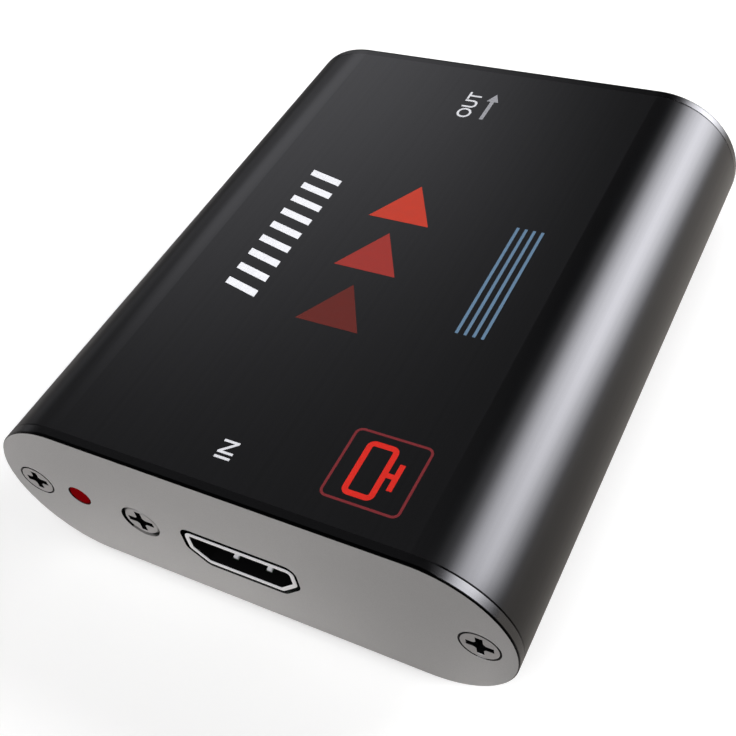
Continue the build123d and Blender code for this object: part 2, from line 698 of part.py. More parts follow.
def hdmi_insulator():
    """The body that closes the shell's rear and the tongue that stands forward from it."""
    body_outline = offset(hdmi_opening(), -HDMI_BODY_GAP)
    body = slab(body_outline, 0, FRONT_Y + HDMI_BODY_DEPTH, HDMI_Z, HDMI_DEPTH - HDMI_BODY_DEPTH)
    tongue_outline = Rectangle(HDMI_TONGUE_WIDTH, HDMI_TONGUE_THICKNESS)
    tongue_length = HDMI_BODY_DEPTH - HDMI_TONGUE_DEPTH
    tongue = slab(tongue_outline, 0, FRONT_Y + HDMI_TONGUE_DEPTH, hdmi_tongue_z(), tongue_length)
    insulator = body + tongue
    for x, low, high in hdmi_contact_rows():
        insulator = insulator - span_box(
            (x - HDMI_CONTACT_WIDTH / 2, FRONT_Y + HDMI_BODY_DEPTH, low),
            (x + HDMI_CONTACT_WIDTH / 2, FRONT_Y + HDMI_DEPTH, high),
        )
    return insulator


# USB socket

def usb_shell():
    """A folded box with a flat face round the mouth, open at its rear, and two board tabs."""
    outer = Rectangle(USB_SHELL_WIDTH, USB_SHELL_HEIGHT)
    outer = fillet(outer.vertices(), USB_SHELL_ROUNDING)
    middle_z = BOARD_TOP + USB_SHELL_HEIGHT / 2
    back_y = USB_FACE_Y - USB_SHELL_DEPTH
    shell = slab(outer, 0, back_y, middle_z, USB_SHELL_DEPTH)
    hollow_depth = USB_SHELL_DEPTH - USB_SHEET + CUT_OVERRUN
    shell = shell - slab(offset(outer, -USB_SHEET), 0, back_y - CUT_OVERRUN, middle_z, hollow_depth)
    face_y = USB_FACE_Y - USB_SHEET
    mouth = fillet(usb_opening().vertices(), USB_CORNER)
    shell = shell - slab(mouth, 0, face_y - CUT_OVERRUN, USB_LOWER_Z, USB_SHEET + 2 * CUT_OVERRUN)
    bottom = BOARD_BOTTOM - USB_TAB_BELOW
    for x, y in usb_tab_places():
        shell = shell + block(USB_TAB_THICKNESS, USB_TAB_WIDTH, USB_LOWER_Z - bottom, x, y, bottom)
    return shell


def usb_tab_places():
    """The x of each side's sheet and the y of its board tab."""
    x = USB_SHELL_WIDTH / 2 - USB_TAB_THICKNESS / 2
    y = USB_FACE_Y - USB_TAB_FROM_FACE - USB_TAB_WIDTH / 2
    return [(side * x, y) for side in (-1, 1)]


def usb_tongue_z():
    """The mid-height of the lower tongue."""
    return USB_LOWER_Z + USB_TONGUE_DROP


def usb_blade_z():
    """The mid-height of the thin tongue in the raised part."""
    return USB_LOWER_Z + USB_LOWER_HEIGHT + USB_UPPER_HEIGHT - USB_BLADE_DROP


def usb_insulator():
    """The plastic body with the mouth's cavity and its two tongues."""
    body_width = USB_SHELL_WIDTH - 2 * USB_SHEET - 2 * USB_BODY_GAP
    body_height = USB_SHELL_HEIGHT - 2 * USB_SHEET - 2 * USB_BODY_GAP
    corner = max(USB_SHELL_ROUNDING - USB_SHEET, USB_BODY_GAP)
    outline = fillet(Rectangle(body_width, body_height).vertices(), corner)
    back_y = USB_FACE_Y - USB_SHELL_DEPTH
    front_y = USB_FACE_Y - USB_SHEET
    middle_z = BOARD_TOP + USB_SHELL_HEIGHT / 2
    body = slab(outline, 0, back_y, middle_z, front_y - back_y)
    cavity_y = USB_FACE_Y - USB_CAVITY_DEPTH
    body = body - slab(usb_opening(), 0, cavity_y, USB_LOWER_Z, USB_CAVITY_DEPTH)
    tongue_length = USB_CAVITY_DEPTH - USB_TONGUE_RECESS
    tongue_outline = Rectangle(USB_TONGUE_WIDTH, USB_TONGUE_THICKNESS)
    tongue = slab(tongue_outline, 0, cavity_y, usb_tongue_z(), tongue_length)
    blade_outline = Rectangle(USB_BLADE_WIDTH, USB_BLADE_THICKNESS)
    blade = slab(blade_outline, 0, cavity_y, usb_blade_z(), tongue_length)
    return body + tongue + blade


def usb_contacts():
    """Four strips on the tongue, five under the thin one, and a row of tails behind the body."""
    low_y = USB_FACE_Y - USB_CAVITY_DEPTH
    high_y = USB_FACE_Y - USB_TONGUE_RECESS - USB_PIN_FROM_TIP
    contacts = []
    for side in (-1, 1):
        x = side * USB_PIN_PITCH / 2
        for face in (-1, 1):
            middle = usb_tongue_z() + face * (USB_TONGUE_THICKNESS + USB_PIN_THICKNESS) / 2
            contacts.append(span_box(
                (x - USB_PIN_WIDTH / 2, low_y, middle - USB_PIN_THICKNESS / 2),
                (x + USB_PIN_WIDTH / 2, high_y, middle + USB_PIN_THICKNESS / 2),
            ))
    blade_top = usb_blade_z() - USB_BLADE_THICKNESS / 2
    for i in range(USB_BLADE_PINS):
        x = (i - (USB_BLADE_PINS - 1) / 2) * USB_BLADE_PIN_PITCH
        contacts.append(span_box(
            (x - USB_BLADE_PIN_WIDTH / 2, low_y, blade_top - USB_PIN_THICKNESS),
            (x + USB_BLADE_PIN_WIDTH / 2, high_y, blade_top),
        ))
    back_y = USB_FACE_Y - USB_SHELL_DEPTH
    end_y = back_y - USB_TAIL_REACH
    for i in range(USB_TAIL_PINS):
        x = (i - (USB_TAIL_PINS - 1) / 2) * USB_TAIL_PITCH
        left = x - USB_TAIL_WIDTH / 2
        right = x + USB_TAIL_WIDTH / 2
        tail_top = BOARD_TOP + USB_TAIL_HEIGHT
        bend_y = back_y - USB_TAIL_THICKNESS
        drop = span_box((left, bend_y, BOARD_TOP), (right, back_y, tail_top))
        foot = span_box((left, end_y, BOARD_TOP), (right, bend_y, BOARD_TOP + USB_TAIL_THICKNESS))
        contacts.append(drop + foot)
    return contacts


# Board and what stands on it

def main_board():
    """The board, with slots for the tabs of both sockets."""
    middle_y = BOARD_FRONT_Y + BOARD_LENGTH / 2
    board = block(BOARD_WIDTH, BOARD_LENGTH, BOARD_THICKNESS, 0, middle_y, BOARD_BOTTOM)
    cut_z = BOARD_BOTTOM - CUT_OVERRUN
    cut_height = BOARD_THICKNESS + 2 * CUT_OVERRUN
    for x, y in hdmi_tab_places():
        width = HDMI_SHEET + 2 * BOARD_SLOT_GAP
        length = HDMI_TAB_WIDTH + 2 * BOARD_SLOT_GAP
        board = board - block(width, length, cut_height, x, y, cut_z)
    for x, y in usb_tab_places():
        width = USB_TAB_THICKNESS + 2 * BOARD_SLOT_GAP
        length = USB_TAB_WIDTH + 2 * BOARD_SLOT_GAP
        board = board - block(width, length, cut_height, x, y, cut_z)
    return board


def fpga_chip():
    return block(FPGA_SIDE, FPGA_SIDE, FPGA_THICKNESS, 0, FPGA_Y, BOARD_TOP)


def thermal_pad():
    return block(PAD_SIDE, PAD_SIDE, PAD_THICKNESS, 0, FPGA_Y, BOARD_TOP + FPGA_THICKNESS)


def heat_sink():
    """A base with a row of upright fins along the box."""
    bottom = BOARD_TOP + FPGA_THICKNESS + PAD_THICKNESS
    sink = block(SINK_SIDE, SINK_SIDE, SINK_BASE, 0, FPGA_Y, bottom)
    fin_pitch = (SINK_SIDE - SINK_FIN_THICKNESS) / (SINK_FINS - 1)
    for i in range(SINK_FINS):
        x = (i - (SINK_FINS - 1) / 2) * fin_pitch
        sink = sink + block(SINK_FIN_THICKNESS, SINK_SIDE, SINK_HEIGHT, x, FPGA_Y, bottom)
    return sink


def receiver_chip():
    bottom = BOARD_TOP + RECEIVER_STANDOFF
    return block(RECEIVER_SIDE, RECEIVER_SIDE, RECEIVER_THICKNESS, 0, RECEIVER_Y, bottom)


def receiver_leads():
    """Leads on four sides: out of the body, down, and out again to a foot on the board."""
    lead_z = BOARD_TOP + RECEIVER_STANDOFF + RECEIVER_THICKNESS / 2
    edge = RECEIVER_SIDE / 2
    bend = edge + RECEIVER_LEAD_REACH - RECEIVER_LEAD_FOOT
    end = edge + RECEIVER_LEAD_REACH
    outline = Polygon(
        (edge, lead_z),
        (bend, lead_z),
        (bend, BOARD_TOP + RECEIVER_LEAD_THICKNESS),
        (end, BOARD_TOP + RECEIVER_LEAD_THICKNESS),
        (end, BOARD_TOP),
        (bend - RECEIVER_LEAD_THICKNESS, BOARD_TOP),
        (bend - RECEIVER_LEAD_THICKNESS, lead_z - RECEIVER_LEAD_THICKNESS),
        (edge, lead_z - RECEIVER_LEAD_THICKNESS),
        align=None,
    )
    lead = extrude(Plane.XZ * outline, amount=RECEIVER_LEAD_WIDTH / 2, both=True)
    leads = []
    for turn in (0, 90, 180, 270):
        for i in range(RECEIVER_LEADS):
            along = (i - (RECEIVER_LEADS - 1) / 2) * RECEIVER_LEAD_PITCH
            leads.append(Pos(0, RECEIVER_Y, 0) * Rot(0, 0, turn) * Pos(0, along, 0) * lead)
    return leads


def usb_bridge_chip():
    return block(BRIDGE_SIDE, BRIDGE_SIDE, BRIDGE_THICKNESS, BRIDGE_X, BRIDGE_Y, BOARD_TOP)


def memory_chips():
    return [
        block(MEMORY_WIDTH, MEMORY_LENGTH, MEMORY_THICKNESS, side * MEMORY_X, FPGA_Y, BOARD_TOP)
        for side in (-1, 1)
    ]


def flash_chip():
    return block(FLASH_SIDE, FLASH_SIDE, FLASH_THICKNESS, FLASH_X, BRIDGE_Y, BOARD_TOP)


def crystals():
    """Two metal cans, one on each side of the receiver."""
    return [
        block(CRYSTAL_WIDTH, CRYSTAL_LENGTH, CRYSTAL_HEIGHT, x, RECEIVER_Y, BOARD_TOP)
        for x in (-CRYSTAL_X, CRYSTAL_X)
    ]


def power_rows():
    """The rows of the power section, counted from the board's rear end."""
    return [BOARD_REAR_Y - POWER_FROM_END - i * POWER_PITCH for i in range(POWER_ROWS)]


def power_inductors():
    """Blocks with cut upright corners."""
    inductors = []
    for y in power_rows():
        body = block(INDUCTOR_SIDE, INDUCTOR_SIDE, INDUCTOR_HEIGHT, INDUCTOR_X, y, BOARD_TOP)
        inductors.append(chamfer(body.edges().filter_by(Axis.Z), INDUCTOR_CHAMFER))
    return inductors


def polymer_capacitors():
    """Round cans on square bases."""
    cans = []
    for y in power_rows():
        side = CAPACITOR_BASE_SIDE
        base = block(side, side, CAPACITOR_BASE_HEIGHT, CAPACITOR_X, y, BOARD_TOP)
        body = post(CAPACITOR_DIAMETER / 2, CAPACITOR_HEIGHT)
        cans.append(base + Pos(CAPACITOR_X, y, BOARD_TOP) * body)
    return cans


def ceramic_capacitors():
    places = []
    for side in (-1, 1):
        for i in range(CERAMIC_ROWS):
            places.append((side * CERAMIC_X, FPGA_Y + (i - (CERAMIC_ROWS - 1) / 2) * CERAMIC_PITCH))
    return [block(CERAMIC_WIDTH, CERAMIC_LENGTH, CERAMIC_HEIGHT, x, y, BOARD_TOP) for x, y in places]


def surge_protectors():
    xs = [(i - (ESD_COUNT - 1) / 2) * ESD_PITCH for i in range(ESD_COUNT)]
    return [block(ESD_WIDTH, ESD_LENGTH, ESD_HEIGHT, x, ESD_Y, BOARD_TOP) for x in xs]


# Every separate piece, by the name of its node

parts = {
    "housing_tube": housing_tube(),
    "front_plate": front_plate(),
    "rear_plate": rear_plate(),
    "front_plate_screws": [p * countersunk_screw() for p in plate_screw_places(front_plane, FRONT_Y)],
    "rear_plate_screws": [p * countersunk_screw() for p in plate_screw_places(rear_plane, REAR_Y)],
    "rubber_feet": rubber_feet(),
    "lock_screw": lock_screw(),
    "lock_washer": lock_washer(),
    "lock_block": lock_block(),
    "led_lens": led_lens(),
    "led_holder": led_holder(),
    "led_leads": led_leads(),
    "hdmi_shell": hdmi_shell(),
    "hdmi_insulator": hdmi_insulator(),
    "hdmi_contacts": hdmi_contacts(),
    "usb_shell": usb_shell(),
    "usb_insulator": usb_insulator(),
    "usb_contacts": usb_contacts(),
    "main_board": main_board(),
    "fpga_chip": fpga_chip(),
    "thermal_pad": thermal_pad(),
    "heat_sink": heat_sink(),
    "video_receiver_chip": receiver_chip(),
    "video_receiver_leads": receiver_leads(),
    "usb_bridge_chip": usb_bridge_chip(),
    "memory_chips": memory_chips(),
    "flash_chip": flash_chip(),
    "crystals": crystals(),
    "power_inductors": power_inductors(),
    "polymer_capacitors": polymer_capacitors(),
    "ceramic_capacitors": ceramic_capacitors(),
    "surge_protectors": surge_protectors(),
}

os.makedirs("parts", exist_ok=True)
for name, shape in parts.items():
    if isinstance(shape, list):
        shape = Compound(children=shape)
    export_step(shape, f"parts/{name}.step")
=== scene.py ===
import json
import math

import bmesh
import bpy
from mathutils import Matrix, Vector


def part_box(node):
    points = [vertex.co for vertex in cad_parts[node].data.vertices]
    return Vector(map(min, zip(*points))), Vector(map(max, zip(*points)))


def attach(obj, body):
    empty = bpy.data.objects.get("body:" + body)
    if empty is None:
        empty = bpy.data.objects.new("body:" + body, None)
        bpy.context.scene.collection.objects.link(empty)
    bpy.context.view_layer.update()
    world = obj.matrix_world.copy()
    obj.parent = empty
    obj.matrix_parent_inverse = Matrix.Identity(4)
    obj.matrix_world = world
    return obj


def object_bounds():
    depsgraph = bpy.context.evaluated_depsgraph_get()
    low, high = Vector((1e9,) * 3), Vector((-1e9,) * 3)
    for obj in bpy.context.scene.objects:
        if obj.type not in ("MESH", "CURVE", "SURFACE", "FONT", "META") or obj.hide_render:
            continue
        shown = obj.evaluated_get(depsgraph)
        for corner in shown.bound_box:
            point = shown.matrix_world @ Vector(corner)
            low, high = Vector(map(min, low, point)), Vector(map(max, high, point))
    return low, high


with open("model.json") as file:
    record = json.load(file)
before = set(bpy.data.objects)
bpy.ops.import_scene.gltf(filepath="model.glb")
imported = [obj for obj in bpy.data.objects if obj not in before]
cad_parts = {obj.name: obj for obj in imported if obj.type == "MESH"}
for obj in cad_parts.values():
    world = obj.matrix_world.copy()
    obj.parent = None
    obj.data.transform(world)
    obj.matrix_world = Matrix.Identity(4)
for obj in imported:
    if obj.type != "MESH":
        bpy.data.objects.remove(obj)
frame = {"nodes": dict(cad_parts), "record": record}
cad_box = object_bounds()

# Lengths are in millimetres and angles in degrees, unless a comment says metres
MM = 0.001
DEGREES = 180 / math.pi
X, Y, Z = range(3)

# Height of the flat top and place of the front face, in metres
TOP_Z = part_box("housing_tube")[1].z
FRONT_Y = cad_box[0][Y]

# Camera of the photograph
CAMERA_PLACE = (64.2914, -96.8378, 126.3033)
CAMERA_AIM = (8.2974, -20.9057, 26.5)
CAMERA_ROLL = -12.7054
CAMERA_LENS = 53.7466
CAMERA_SENSOR = 36.0
CAMERA_NEAR = 5.0

# Prints on the top: x from the middle, y from the front face
PRINT_THICKNESS = 0.012
ARROW_X = -0.5
ARROW_SIDE = 9.4
ARROW_HEIGHT = 8.0
ARROW_BASES = (29.0, 40.0, 50.7)
BAND_X = (-18.2, -12.7)
BAND_Y = (30.6, 57.8)
BAND_BARS = 9
BAND_BAR_WIDTH = 1.25
BAND_SLANT = 1.3
STRIPE_X = (16.1, 20.1)
STRIPE_Y = (33.2, 54.3)
STRIPE_COUNT = 4
STRIPE_WIDTH = 0.42
ICON_X = (11.5, 21.85)
ICON_Y = (4.8, 15.3)
ICON_CORNER = 1.0
ICON_LINE = 0.34
SCREEN_X = (13.8, 18.0)
SCREEN_Y = (5.9, 14.0)
SCREEN_CORNER = 1.0
SCREEN_LINE = 0.75
STAND_X = (18.8, 19.5)
STAND_Y = (8.0, 11.9)
NECK_X = (18.0, 18.8)
NECK_Y = (9.6, 10.3)
LABEL_X = -0.85
LABEL_HEIGHT = 2.3
LABEL_WEIGHT = 0.03
CAPITALS_SHARE = 0.73
IN_LABEL_Y = 4.9
OUT_LABEL_Y = 75.9
SIGN_X = (0.35, 2.25)
SIGN_Y = (76.2, 80.9, 82.9)
SIGN_LINE = 0.6

# Inks of the prints, as display colours of 0 to 255
ARROW_INKS = ((93, 28, 20), (147, 44, 36), (184, 54, 34))
WHITE_INK = (238, 238, 238)
PALE_INK = (215, 215, 215)
GREY_INK = (150, 150, 152)
BLUE_INK = (94, 122, 145)
FRAME_INK = (112, 32, 36)
ICON_INK = (205, 32, 18)

# The usual lows and highs of one noise and of the sum of two
NOISE_SPAN = (0.3, 0.7)
TWO_NOISES_SPAN = (0.7, 1.3)

# How many layers a noise has, and how strong each layer is beside the one before it
COARSE = 2.0
MEDIUM = 3.0
FINE = 4.0
SOFT = 0.55
HARSH = 0.65


def linear(red, green, blue):
    """A display colour of 0 to 255 as a linear one, by the standard display curve."""
    values = []
    for part in (red, green, blue):
        part = part / 255
        values.append(part / 12.92 if part <= 0.04045 else ((part + 0.055) / 1.055) ** 2.4)
    return (*values, 1.0)


def scaled(colour, share):
    return (*(part * share for part in colour[:3]), 1.0)


# Node helpers

# Sockets of a mix of colours
MIX_A = 6
MIX_B = 7
MIX_RESULT = 2


class Nodes:
    """Short calls that add nodes to a tree and link them."""

    def __init__(self, tree):
        self.tree = tree

    def add(self, kind, **settings):
        node = self.tree.nodes.new(kind)
        for key, value in settings.items():
            setattr(node, key, value)
        return node

    def feed(self, socket, value):
        """Links an output to a socket, or sets the socket's own value."""
        if isinstance(value, bpy.types.NodeSocket):
            self.tree.links.new(value, socket)
        else:
            socket.default_value = value

    def math(self, operation, *values):
        node = self.add("ShaderNodeMath", operation=operation)
        for socket, value in zip(node.inputs, values):
            self.feed(socket, value)
        return node.outputs[0]

    def inverse(self, share):
        return self.math("SUBTRACT", 1.0, share)

    def squares(self, across, upward):
        """The squared distance that two lengths at a right angle make."""
        return self.math("ADD", self.math("POWER", across, 2.0), self.math("POWER", upward, 2.0))

    def within(self, value, low, high):
        """1 between two limits, else 0."""
        above = self.math("GREATER_THAN", value, low)
        return self.math("MULTIPLY", above, self.math("LESS_THAN", value, high))

    def span(self, value, low, high, to_low=0.0, to_high=1.0, smooth=False):
        node = self.add("ShaderNodeMapRange")
        if smooth:
            node.interpolation_type = "SMOOTHSTEP"
        for socket, part in zip(node.inputs, (value, low, high, to_low, to_high)):
            self.feed(socket, part)
        return node.outputs[0]

    def blend(self, share, colour_a, colour_b):
        node = self.add("ShaderNodeMix", data_type="RGBA")
        self.feed(node.inputs["Factor"], share)
        self.feed(node.inputs[MIX_A], colour_a)
        self.feed(node.inputs[MIX_B], colour_b)
        return node.outputs[MIX_RESULT]

    def choose(self, share, shader_a, shader_b):
        node = self.add("ShaderNodeMixShader")
        self.feed(node.inputs["Fac"], share)
        self.feed(node.inputs[1], shader_a)
        self.feed(node.inputs[2], shader_b)
        return node.outputs[0]

    def split(self, vector, axis):
        node = self.add("ShaderNodeSeparateXYZ")
        self.feed(node.inputs[0], vector)
        return node.outputs[axis]

    def position(self, axis):
        """Object x, y or z in metres."""
        return self.split(self.add("ShaderNodeTexCoord").outputs["Object"], axis)

    def coordinate(self, axis):
        """Object x, y or z in millimetres."""
        return self.math("DIVIDE", self.position(axis), MM)


class Finish(Nodes):
    """A Principled material whose colour, roughness and relief come from object-space noise."""

    def __init__(self, name):
        self.material = bpy.data.materials.new(name)
        self.material.use_nodes = True
        super().__init__(self.material.node_tree)
        self.shader = self.tree.nodes["Principled BSDF"]
        self.place = self.add("ShaderNodeTexCoord").outputs["Object"]
        self.relief = None

    def noise(self, size, detail=MEDIUM, roughness=SOFT, stretch=(1.0, 1.0, 1.0)):
        """Noise whose features are size millimetres across, longer along an axis by its stretch."""
        mapping = self.add("ShaderNodeMapping")
        mapping.inputs["Scale"].default_value = [1 / part for part in stretch]
        self.feed(mapping.inputs["Vector"], self.place)
        node = self.add("ShaderNodeTexNoise")
        node.inputs["Scale"].default_value = 1 / (size * MM)
        node.inputs["Detail"].default_value = detail
        node.inputs["Roughness"].default_value = roughness
        self.feed(node.inputs["Vector"], mapping.outputs["Vector"])
        return node.outputs["Fac"]

    def shaded(self, noise, colour, spread, limits=NOISE_SPAN):
        """A colour that a noise makes darker and lighter by up to that spread."""
        share = self.span(noise, *limits)
        return self.blend(share, scaled(colour, 1 - spread), scaled(colour, 1 + spread))

    def facing(self, axis, kind="True Normal"):
        """How squarely the surface faces along x, y or z: 1 when it does, either way."""
        normal = self.add("ShaderNodeNewGeometry").outputs[kind]
        return self.math("ABSOLUTE", self.split(normal, axis))

    def flat(self):
        """1 on the flat top and bottom, 0 on the round sides."""
        return self.span(self.facing(Z, "Normal"), *FLAT_FACING, smooth=True)

    def bump(self, height, depth):
        """Relief of that depth in millimetres, on top of any relief that is there."""
        node = self.add("ShaderNodeBump")
        node.inputs["Strength"].default_value = 1.0
        node.inputs["Distance"].default_value = depth * MM
        self.feed(node.inputs["Height"], height)
        if self.relief is not None:
            self.feed(node.inputs["Normal"], self.relief)
        self.relief = node.outputs["Normal"]
        self.feed(self.shader.inputs["Normal"], self.relief)

    def set(self, **values):
        for key, value in values.items():
            self.feed(self.shader.inputs[key.replace("_", " ")], value)


# Finishes

# A facing is how squarely a surface faces an axis, and a spread is a share of its colour
# Black painted as shade: where tube and plates meet, along the plates' outer edges, on sideways hole walls,
# in the screws' cross hollows, inside the socket, and at the dark end of the floor's painted reflection
SHADE_BLACK = (0.004, 0.004, 0.004, 1.0)
FLAT_FACING = (0.95, 0.992)
CLOUD_RATIO = 8
GLOSS_SPREAD = 0.05
TUBE_END_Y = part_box("housing_tube")[1].y / MM
# Width in millimetres of the painted shade line on each side of where the tube meets a plate
SEAM_SHADE_WIDTH = 0.12

DARK_ALUMINIUM = (0.074, 0.0735, 0.075, 1.0)
CASE_SPREAD = 0.06
CASE_ROUGHNESS = (0.275, 0.305)
CASE_GRAIN = 0.12
CASE_GRAIN_DEPTH = 0.001
CASE_LINES = 0.6
CASE_LINES_STRETCH = (1.0, 400.0, 1.0)
CASE_LINES_DEPTH = 0.0004

PLATE_GREY = (0.53, 0.533, 0.528, 1.0)
PLATE_SPREAD = 0.05
PLATE_ROUGHNESS = 0.46
PLATE_GRAIN = 0.16
PLATE_GRAIN_DEPTH = 0.004
PLATE_FACING = 0.95
WALL_FACING = 0.7
# The rim is painted lighter on the round sides, as highlight, and darker on the flat top and bottom by the
# share below, as shade
RIM_ALUMINIUM = (0.125, 0.124, 0.126, 1.0)
FLAT_RIM_SHADE = 0.39
RIM_ROUGHNESS = 0.27
RIM_GRAIN_SHARE = 0.25
RIM_DEPTH = 1.4
# Widths in millimetres of the painted shade line along the plate's outer edge, off the flat and on it
EDGE_WIDTH = 0.27
FLAT_EDGE_WIDTH = 0.4

STEEL = (0.46, 0.455, 0.45, 1.0)
STEEL_SPREAD = 0.07
STEEL_ROUGHNESS = 0.42
STEEL_GRAIN = 0.1
STEEL_GRAIN_DEPTH = 0.003
# Depths, and reaches from the axis, in millimetres of the black painted as shade in the screws' cross
# hollows
RECESS_DEPTH = (0.03, 1.6)
PLATE_SCREW_RECESS = 1.85
LOCK_SCREW_RECESS = 2.1
THREAD_RADIUS = 1.55
THREAD_PITCH = 0.5
THREAD_DEPTH = 0.1

LIP_NICKEL = (0.98, 0.975, 0.965, 1.0)
LIP_NICKEL_DULL = (0.88, 0.875, 0.865, 1.0)
LIP_ROUGHNESS = 0.3
LIP_GRAIN = 0.2
LIP_GRAIN_DEPTH = 0.001
LIP_REACH = 0.3
LIP_FACING = 0.5
LIP_METAL = 0.45
FINGER_ACROSS = (2.19, 2.91)
FINGER_REACH = (1.6, 3.2)
FINGER_METAL = 0.0

BOARD_GREENS = ((0.006, 0.055, 0.02, 1.0), (0.008, 0.07, 0.026, 1.0))
BOARD_DARK_GREEN = (0.004, 0.035, 0.012, 1.0)
BOARD_ROUGHNESS = 0.32
BOARD_CELL = 2.2
BOARD_CELL_SHIFT = 0.35
BOARD_LINE_SHARE = 0.12
BOARD_RELIEF = 0.03


def varied(name, colour, roughness, size, metallic=0.0, spread=0.12, depth=0.004, specular=0.5):
    """A finish with cloudy variation of colour and roughness, and a fine grain of that size and depth."""
    finish = Finish(name)
    cloud = finish.noise(size * CLOUD_RATIO, detail=COARSE)
    grain = finish.noise(size, detail=FINE)
    tone = finish.shaded(finish.math("ADD", cloud, grain), colour, spread, TWO_NOISES_SPAN)
    gloss = finish.span(cloud, *NOISE_SPAN, roughness - GLOSS_SPREAD, roughness + GLOSS_SPREAD)
    finish.set(Base_Color=tone, Metallic=metallic, Roughness=gloss, Specular_IOR_Level=specular)
    finish.bump(grain, depth)
    return finish


def ink(name, colour):
    """Screen-printed ink: slightly uneven, with the metal's grain showing through."""
    return varied(name, linear(*colour), roughness=0.5, size=0.15, spread=0.06, depth=0.003)


def case_metal():
    """Dark anodised aluminium: fine blasted grain, faint extrusion lines, and a black line of painted shade
    at each end of the round sides, where the tube meets a plate.
    """
    finish = Finish("dark_anodised")
    grain = finish.noise(CASE_GRAIN, detail=FINE, roughness=HARSH)
    lines = finish.noise(CASE_LINES, detail=COARSE, stretch=CASE_LINES_STRETCH)
    both = finish.math("ADD", grain, lines)
    tone = finish.shaded(both, DARK_ALUMINIUM, CASE_SPREAD, TWO_NOISES_SPAN)
    # Painted shade: a black line where the round sides meet each plate, left off the flat top and bottom
    from_middle = finish.math("ABSOLUTE", finish.coordinate(Y))
    seam_shade = finish.math("GREATER_THAN", from_middle, TUBE_END_Y - SEAM_SHADE_WIDTH)
    seam_shade = finish.math("MULTIPLY", seam_shade, finish.inverse(finish.flat()))
    finish.set(Base_Color=finish.blend(seam_shade, tone, SHADE_BLACK), Metallic=1.0)
    finish.set(Roughness=finish.span(grain, *NOISE_SPAN, *CASE_ROUGHNESS))
    finish.bump(grain, CASE_GRAIN_DEPTH)
    finish.bump(lines, CASE_LINES_DEPTH)
    return finish


def plate_metal():
    """The end plates: a blasted grey face; hole walls, painted black as shade where they face sideways; and
    a rim painted lighter on the round sides and darker on the flat, as highlight and shade, between two
    painted shade lines.
    """
    finish = Finish("blasted_plate")
    low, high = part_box("front_plate")
    round_radius = (high.z - low.z) / 2 / MM
    round_x = high.x / MM - round_radius
    middle_z = (high.z + low.z) / 2 / MM
    across = finish.math("SUBTRACT", finish.math("ABSOLUTE", finish.coordinate(X)), round_x)
    upward = finish.math("SUBTRACT", finish.coordinate(Z), middle_z)
    squares = finish.squares(finish.math("MAXIMUM", across, 0.0), upward)
    in_hole = finish.math("LESS_THAN", squares, (round_radius - RIM_DEPTH) ** 2)

    grain = finish.noise(PLATE_GRAIN, detail=FINE, roughness=HARSH)
    grey = finish.shaded(grain, PLATE_GREY, PLATE_SPREAD)
    # Hole walls that face sideways are painted black as shade; those that face up or down keep the grey
    level = finish.math("GREATER_THAN", finish.facing(Z), WALL_FACING)
    shaded_wall = finish.blend(level, SHADE_BLACK, grey)

    flat = finish.flat()
    from_middle = finish.math("ABSOLUTE", finish.coordinate(Y))
    # Painted shade: a black line along the outer edge, wider on the flat, and one where the plate meets the
    # tube, left off the flat
    edge_shade_width = finish.span(flat, 0.0, 1.0, EDGE_WIDTH, FLAT_EDGE_WIDTH)
    edge = finish.math("GREATER_THAN", finish.math("ADD", from_middle, edge_shade_width), -FRONT_Y / MM)
    seam_shade = finish.math("LESS_THAN", from_middle, TUBE_END_Y + SEAM_SHADE_WIDTH)
    seam_shade = finish.math("MULTIPLY", seam_shade, finish.inverse(flat))
    # The rim is painted lighter on the round sides as highlight, and darker on the flat top and bottom as
    # shade
    rim = finish.blend(flat, RIM_ALUMINIUM, scaled(RIM_ALUMINIUM, FLAT_RIM_SHADE))
    rim = finish.blend(finish.math("MAXIMUM", edge, seam_shade), rim, SHADE_BLACK)

    face = finish.math("GREATER_THAN", finish.facing(Y), PLATE_FACING)
    side = finish.blend(in_hole, rim, shaded_wall)
    finish.set(Base_Color=finish.blend(face, side, grey), Metallic=1.0)
    finish.set(Roughness=finish.span(face, 0.0, 1.0, RIM_ROUGHNESS, PLATE_ROUGHNESS))
    grain_share = finish.span(face, 0.0, 1.0, RIM_GRAIN_SHARE, 1.0)
    finish.bump(finish.math("MULTIPLY", grain, grain_share), PLATE_GRAIN_DEPTH)
    return finish


